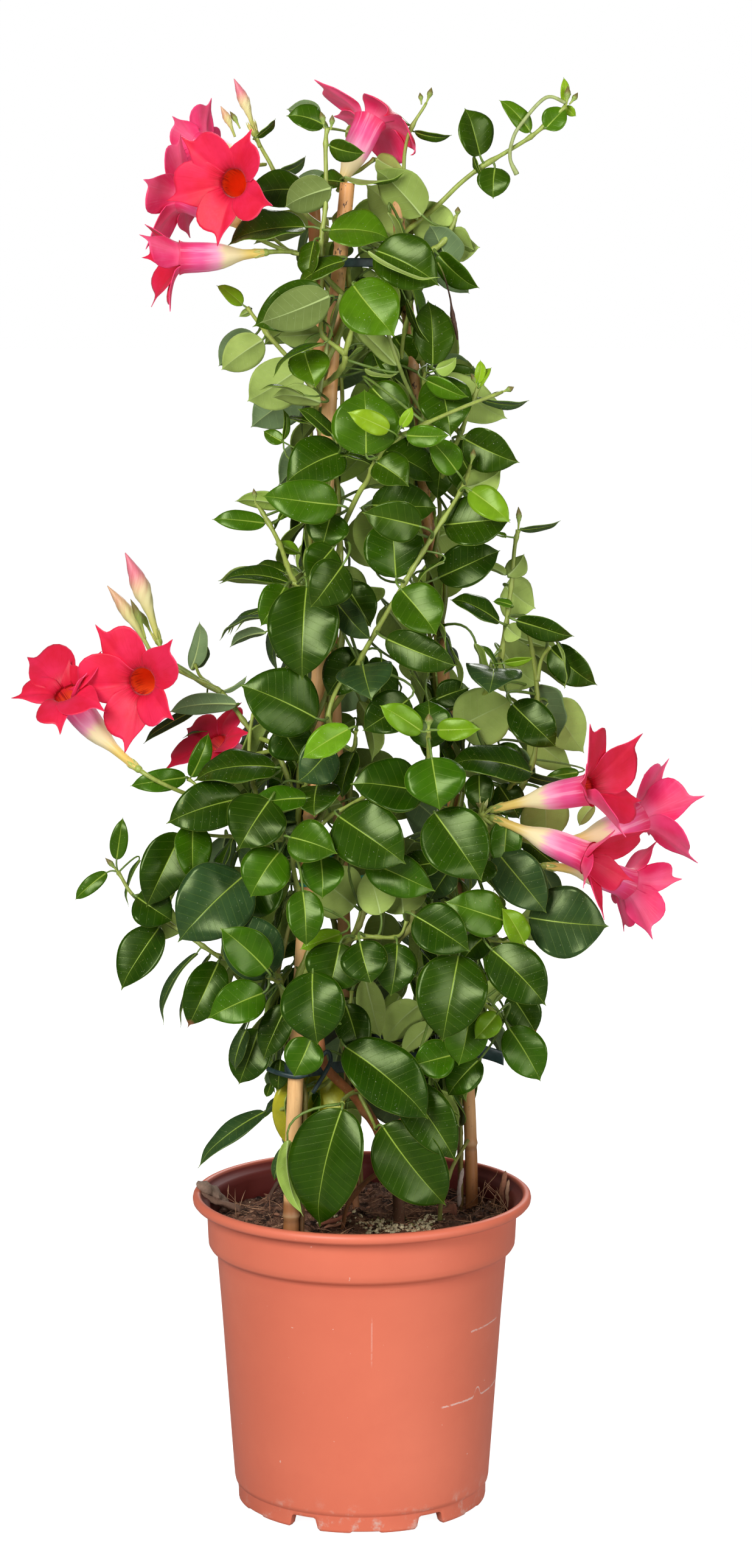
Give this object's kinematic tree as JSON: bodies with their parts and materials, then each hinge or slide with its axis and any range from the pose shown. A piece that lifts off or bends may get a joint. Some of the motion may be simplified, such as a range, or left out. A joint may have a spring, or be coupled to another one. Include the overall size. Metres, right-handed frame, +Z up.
{
  "type": "potted climbing plant",
  "caption": "Flowering climber twined up a cone of bamboo canes in a tapered nursery pot, with glossy oval leaves and red funnel flowers.",
  "frame": {"origin": "centre of the bounding box's bottom, on the pot's axis at the level the pot stands on", "axes": "+Z up along the pot's axis, -Y towards the fuller flowering side, +X to the right seen from that side"},
  "size_m": [0.4105, 0.2467, 0.8719],
  "materials": {
    "terracotta_plastic": "satin",
    "potting_soil": "matte",
    "bamboo": "satin",
    "green_stem": "matte",
    "woody_stem": "matte",
    "tie_plastic": "gloss",
    "tying_band": "satin",
    "petals": "satin",
    "buds": "satin",
    "foliage": "satin"
  },
  "bodies": {
    "root": {"band_middle": "tying_band", "bud_left": "buds", "bud_top_left": "buds", "cane_back": "bamboo", "cane_front": "bamboo", "cane_right": "bamboo", "flower_crown": "petals", "flower_left_front": "petals", "flower_left_outer": "petals", "flower_left_shaded": "petals", "flower_right_back": "petals", "flower_right_lower": "petals", "flower_right_under": "petals", "flower_right_upper": "petals", "flower_top_behind": "petals", "flower_top_front": "petals", "flower_top_left": "petals", "flower_top_side": "petals", "hoop_lower": "tie_plastic", "pot": "terracotta_plastic", "shoot_back_high": "foliage", "shoot_back_low_left": "foliage", "shoot_back_low_right": "foliage", "shoot_back_mid_left": "foliage", "shoot_back_mid_right": "foliage", "shoot_back_top": "foliage", "shoot_bottom": "foliage", "shoot_bottom_left": "foliage", "shoot_bud_spray": "foliage", "shoot_centre": "foliage", "shoot_diagonal": "foliage", "shoot_flower_arm": "foliage", "shoot_heart": "foliage", "shoot_left_arm": "foliage", "shoot_left_centre": "foliage", "shoot_left_low": "foliage", "shoot_left_pale": "foliage", "shoot_left_shield": "foliage", "shoot_left_upper": "foliage", "shoot_long_pale": "foliage", "shoot_long_right": "foliage", "shoot_pale_fan": "foliage", "shoot_pale_top": "foliage", "shoot_right_low": "foliage", "shoot_right_outer": "foliage", "shoot_right_shield": "foliage", "shoot_right_thin": "foliage", "shoot_side_right": "foliage", "shoot_top_leader": "foliage", "shoot_top_middle": "foliage", "shoot_upper_right": "foliage", "shoot_young_pair": "foliage", "soil": "potting_soil", "tie_upper": "tie_plastic", "trunk": "woody_stem", "vine_back": "green_stem", "vine_front": "green_stem", "vine_right": "green_stem"}
  },
  "joints": []
}
